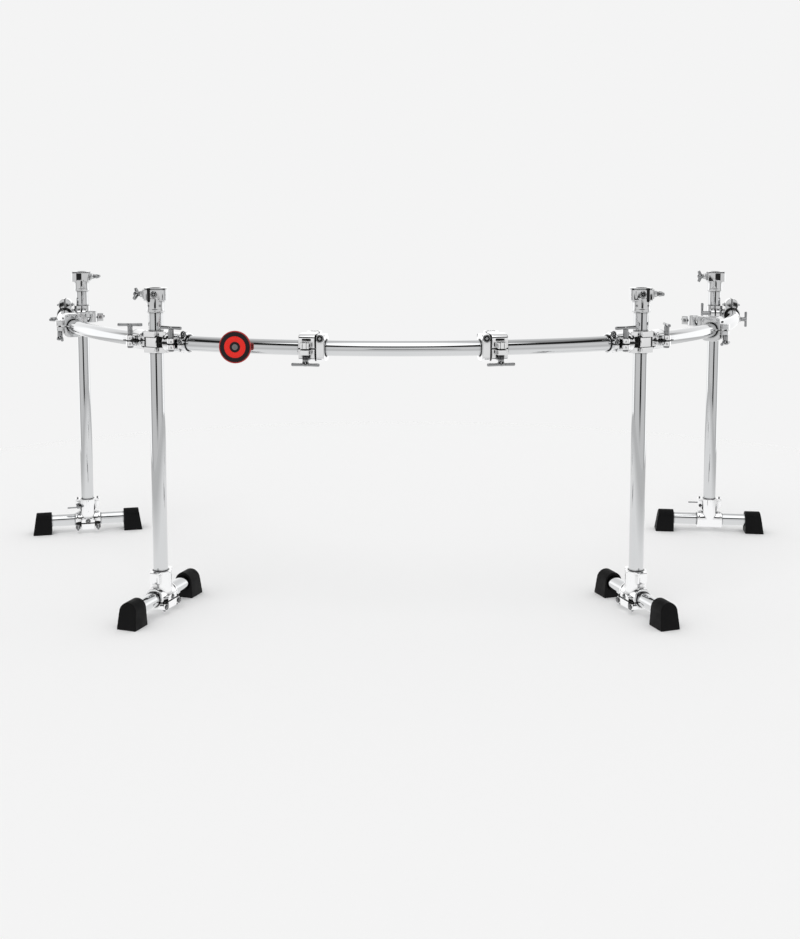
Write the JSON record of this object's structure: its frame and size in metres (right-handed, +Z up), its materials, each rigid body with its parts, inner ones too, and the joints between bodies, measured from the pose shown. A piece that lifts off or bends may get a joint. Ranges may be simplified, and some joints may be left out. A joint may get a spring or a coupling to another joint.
{
  "type": "drum rack frame",
  "caption": "Curved chrome tube rack with a front bar and two side bars held by hinged clamps on upright legs, T-shaped feet with rubber boots, sliding multi clamps and rod receivers.",
  "frame": {"origin": "on the floor, under the centre of the whole rack", "axes": "+X along the front bar to the right as seen from the audience, +Y from the front bar towards the drummer, +Z up"},
  "size_m": [2.3556, 1.0636, 0.8445],
  "materials": {
    "chrome_tube": "polished chrome plate",
    "chrome_casting": "bright chrome on a smooth casting",
    "chrome_bolt": "bright chrome, slightly softer than the tube",
    "boot_rubber": "matte black moulded rubber",
    "badge_plastic": "red rim, glossy"
  },
  "bodies": {
    "front_frame": {"front_bar": "chrome_tube", "corner_clamp_left": "chrome_casting", "corner_clamp_right": "chrome_casting", "badge": "badge_plastic"},
    "wing_left": {"wing_bar_left": "chrome_tube", "wing_clamp_left": "chrome_casting", "back_clamp_left": "chrome_casting"},
    "leg_front_left": {"leg_tube_front_left": "chrome_tube", "receiver_front_left": "chrome_casting"},
    "foot_front_left": {"foot_clamp_front_left": "chrome_casting", "foot_tube_front_left": "chrome_tube", "boot_a_front_left": "boot_rubber", "boot_b_front_left": "boot_rubber"},
    "foot_bolt_front_left": {"foot_bolt_front_left": "chrome_bolt"},
    "receiver_bolt_front_left": {"receiver_bolt_front_left": "chrome_bolt"},
    "leg_back_left": {"leg_tube_back_left": "chrome_tube", "receiver_back_left": "chrome_casting"},
    "foot_back_left": {"foot_clamp_back_left": "chrome_casting", "foot_tube_back_left": "chrome_tube", "boot_a_back_left": "boot_rubber", "boot_b_back_left": "boot_rubber"},
    "foot_bolt_back_left": {"foot_bolt_back_left": "chrome_bolt"},
    "receiver_bolt_back_left": {"receiver_bolt_back_left": "chrome_bolt"},
    "memory_lock_left": {"memory_lock_left": "chrome_casting"},
    "multi_clamp_left": {"multi_clamp_left": "chrome_casting"},
    "multi_jaw_left": {"multi_jaw_left": "chrome_casting"},
    "multi_bolt_left": {"multi_bolt_left": "chrome_bolt"},
    "wing_multi_clamp_left": {"wing_multi_clamp_left": "chrome_casting"},
    "wing_multi_bolt_left": {"wing_multi_bolt_left": "chrome_bolt"},
    "corner_bolt_left": {"corner_bolt_left": "chrome_bolt"},
    "wing_bolt_left": {"wing_bolt_left": "chrome_bolt"},
    "back_bolt_left": {"back_bolt_left": "chrome_bolt"},
    "wing_right": {"wing_bar_right": "chrome_tube", "wing_clamp_right": "chrome_casting", "back_clamp_right": "chrome_casting"},
    "leg_front_right": {"leg_tube_front_right": "chrome_tube", "receiver_front_right": "chrome_casting"},
    "foot_front_right": {"foot_clamp_front_right": "chrome_casting", "foot_tube_front_right": "chrome_tube", "boot_a_front_right": "boot_rubber", "boot_b_front_right": "boot_rubber"},
    "foot_bolt_front_right": {"foot_bolt_front_right": "chrome_bolt"},
    "receiver_bolt_front_right": {"receiver_bolt_front_right": "chrome_bolt"},
    "leg_back_right": {"leg_tube_back_right": "chrome_tube", "receiver_back_right": "chrome_casting"},
    "foot_back_right": {"foot_clamp_back_right": "chrome_casting", "foot_tube_back_right": "chrome_tube", "boot_a_back_right": "boot_rubber", "boot_b_back_right": "boot_rubber"},
    "foot_bolt_back_right": {"foot_bolt_back_right": "chrome_bolt"},
    "receiver_bolt_back_right": {"receiver_bolt_back_right": "chrome_bolt"},
    "memory_lock_right": {"memory_lock_right": "chrome_casting"},
    "multi_clamp_right": {"multi_clamp_right": "chrome_casting"},
    "multi_jaw_right": {"multi_jaw_right": "chrome_casting"},
    "multi_bolt_right": {"multi_bolt_right": "chrome_bolt"},
    "wing_multi_clamp_right": {"wing_multi_clamp_right": "chrome_casting"},
    "wing_multi_bolt_right": {"wing_multi_bolt_right": "chrome_bolt"},
    "corner_bolt_right": {"corner_bolt_right": "chrome_bolt"},
    "wing_bolt_right": {"wing_bolt_right": "chrome_bolt"},
    "back_bolt_right": {"back_bolt_right": "chrome_bolt"}
  },
  "joints": [
    {"name": "wing_swing_left", "type": "hinge", "parent": "front_frame", "child": "wing_left", "pos_m": [-0.61731, -0.33634, 0.705], "axis": [0, 0, 1], "range_deg": [-35, 45]},
    {"name": "wing_swing_right", "type": "hinge", "parent": "front_frame", "child": "wing_right", "pos_m": [0.61669, -0.33634, 0.705], "axis": [0, 0, -1], "range_deg": [-35, 45]},
    {"name": "leg_height_front_left", "type": "slide", "parent": "front_frame", "child": "leg_front_left", "axis": [0, 0, 1], "range_m": [-0.04, 0.45]},
    {"name": "leg_height_front_right", "type": "slide", "parent": "front_frame", "child": "leg_front_right", "axis": [0, 0, 1], "range_m": [-0.04, 0.45]},
    {"name": "leg_height_back_left", "type": "slide", "parent": "wing_left", "child": "leg_back_left", "axis": [0, 0, 1], "range_m": [-0.04, 0.45]},
    {"name": "leg_height_back_right", "type": "slide", "parent": "wing_right", "child": "leg_back_right", "axis": [0, 0, 1], "range_m": [-0.04, 0.45]},
    {"name": "foot_swivel_front_left", "type": "hinge", "parent": "leg_front_left", "child": "foot_front_left", "pos_m": [-0.61731, -0.33634, 0.06], "axis": [0, 0, 1], "continuous": true},
    {"name": "foot_swivel_front_right", "type": "hinge", "parent": "leg_front_right", "child": "foot_front_right", "pos_m": [0.61669, -0.33634, 0.06], "axis": [0, 0, -1], "continuous": true},
    {"name": "foot_swivel_back_left", "type": "hinge", "parent": "leg_back_left", "child": "foot_back_left", "pos_m": [-1.0057, 0.46349, 0.06], "axis": [0, 0, 1], "continuous": true},
    {"name": "foot_swivel_back_right", "type": "hinge", "parent": "leg_back_right", "child": "foot_back_right", "pos_m": [1.00507, 0.46349, 0.06], "axis": [0, 0, -1], "continuous": true},
    {"name": "jaw_open_left", "type": "hinge", "parent": "multi_clamp_left", "child": "multi_jaw_left", "pos_m": [-0.21152, -0.45349, 0.705], "axis": [0.9835, -0.1809, 0], "range_deg": [0, 50]},
    {"name": "jaw_open_right", "type": "hinge", "parent": "multi_clamp_right", "child": "multi_jaw_right", "pos_m": [0.23328, -0.44915, 0.705], "axis": [0.9798, 0.2001, 0], "range_deg": [0, 50]},
    {"name": "multi_tilt_left", "type": "hinge", "parent": "memory_lock_left", "child": "multi_clamp_left", "pos_m": [-0.21731, -0.48496, 0.705], "axis": [0.9835, -0.1809, 0], "range_deg": [-90, 90]},
    {"name": "multi_tilt_right", "type": "hinge", "parent": "memory_lock_right", "child": "multi_clamp_right", "pos_m": [0.23969, -0.4805, 0.705], "axis": [0.9798, 0.2001, 0], "range_deg": [-90, 90]},
    {"name": "multi_slide_left", "type": "hinge", "parent": "front_frame", "child": "memory_lock_left", "pos_m": [-0.00031, 0.6946, 0.705], "axis": [0, 0, 1], "range_deg": [-3.5, 8]},
    {"name": "multi_slide_right", "type": "hinge", "parent": "front_frame", "child": "memory_lock_right", "pos_m": [-0.00031, 0.6946, 0.705], "axis": [0, 0, -1], "range_deg": [-10, 8]},
    {"name": "wing_multi_slide_left", "type": "hinge", "parent": "wing_left", "child": "wing_multi_clamp_left", "pos_m": [0.22776, 0.65342, 0.705], "axis": [0, 0, -1], "range_deg": [-14, 10]},
    {"name": "wing_multi_slide_right", "type": "hinge", "parent": "wing_right", "child": "wing_multi_clamp_right", "pos_m": [-0.22839, 0.65342, 0.705], "axis": [0, 0, 1], "range_deg": [-8, 15]},
    {"name": "multi_bolt_turn_left", "type": "hinge", "parent": "multi_jaw_left", "child": "multi_bolt_left", "pos_m": [-0.22383, -0.52037, 0.705], "axis": [0, 0, 1], "continuous": true},
    {"name": "multi_bolt_turn_right", "type": "hinge", "parent": "multi_jaw_right", "child": "multi_bolt_right", "pos_m": [0.24689, -0.51577, 0.705], "axis": [0, 0, -1], "continuous": true},
    {"name": "wing_multi_bolt_turn_left", "type": "hinge", "parent": "wing_multi_clamp_left", "child": "wing_multi_bolt_left", "pos_m": [-0.97147, 0.06458, 0.705], "axis": [0, 0, 1], "continuous": true},
    {"name": "wing_multi_bolt_turn_right", "type": "hinge", "parent": "wing_multi_clamp_right", "child": "wing_multi_bolt_right", "pos_m": [0.90877, -0.04783, 0.705], "axis": [0, 0, -1], "continuous": true},
    {"name": "corner_bolt_turn_left", "type": "hinge", "parent": "front_frame", "child": "corner_bolt_left", "pos_m": [-0.56697, -0.40314, 0.705], "axis": [0, 0, 1], "continuous": true},
    {"name": "corner_bolt_turn_right", "type": "hinge", "parent": "front_frame", "child": "corner_bolt_right", "pos_m": [0.56634, -0.40314, 0.705], "axis": [0, 0, -1], "continuous": true},
    {"name": "wing_bolt_turn_left", "type": "hinge", "parent": "wing_left", "child": "wing_bolt_left", "pos_m": [-0.68679, -0.32049, 0.705], "axis": [0, 0, 1], "continuous": true},
    {"name": "wing_bolt_turn_right", "type": "hinge", "parent": "wing_right", "child": "wing_bolt_right", "pos_m": [0.68616, -0.32049, 0.705], "axis": [0, 0, -1], "continuous": true},
    {"name": "back_bolt_turn_left", "type": "hinge", "parent": "wing_left", "child": "back_bolt_left", "pos_m": [-1.00022, 0.42791, 0.711], "axis": [0.9884, 0.1522, 0], "continuous": true},
    {"name": "back_bolt_turn_right", "type": "hinge", "parent": "wing_right", "child": "back_bolt_right", "pos_m": [0.99959, 0.42791, 0.711], "axis": [-0.9884, 0.1522, 0], "continuous": true},
    {"name": "receiver_bolt_turn_front_left", "type": "hinge", "parent": "leg_front_left", "child": "receiver_bolt_front_left", "pos_m": [-0.61731, -0.33634, 0.8255], "axis": [1, 0, 0], "continuous": true},
    {"name": "receiver_bolt_turn_front_right", "type": "hinge", "parent": "leg_front_right", "child": "receiver_bolt_front_right", "pos_m": [0.61669, -0.33634, 0.8255], "axis": [1, 0, 0], "continuous": true},
    {"name": "receiver_bolt_turn_back_left", "type": "hinge", "parent": "leg_back_left", "child": "receiver_bolt_back_left", "pos_m": [-1.0057, 0.46349, 0.8255], "axis": [1, 0, 0], "continuous": true},
    {"name": "receiver_bolt_turn_back_right", "type": "hinge", "parent": "leg_back_right", "child": "receiver_bolt_back_right", "pos_m": [1.00507, 0.46349, 0.8255], "axis": [1, 0, 0], "continuous": true},
    {"name": "foot_bolt_turn_front_left", "type": "hinge", "parent": "foot_front_left", "child": "foot_bolt_front_left", "pos_m": [-0.60727, -0.3086, 0.086], "axis": [-0.9403, 0.3404, 0], "continuous": true},
    {"name": "foot_bolt_turn_front_right", "type": "hinge", "parent": "foot_front_right", "child": "foot_bolt_front_right", "pos_m": [0.60664, -0.3086, 0.086], "axis": [0.9403, 0.3404, 0], "continuous": true},
    {"name": "foot_bolt_turn_back_left", "type": "hinge", "parent": "foot_back_left", "child": "foot_bolt_back_left", "pos_m": [-1.03428, 0.45621, 0.086], "axis": [0.247, -0.969, 0], "continuous": true},
    {"name": "foot_bolt_turn_back_right", "type": "hinge", "parent": "foot_back_right", "child": "foot_bolt_back_right", "pos_m": [0.97578, 0.46704, 0.086], "axis": [0.1201, 0.9928, 0], "continuous": true}
  ]
}
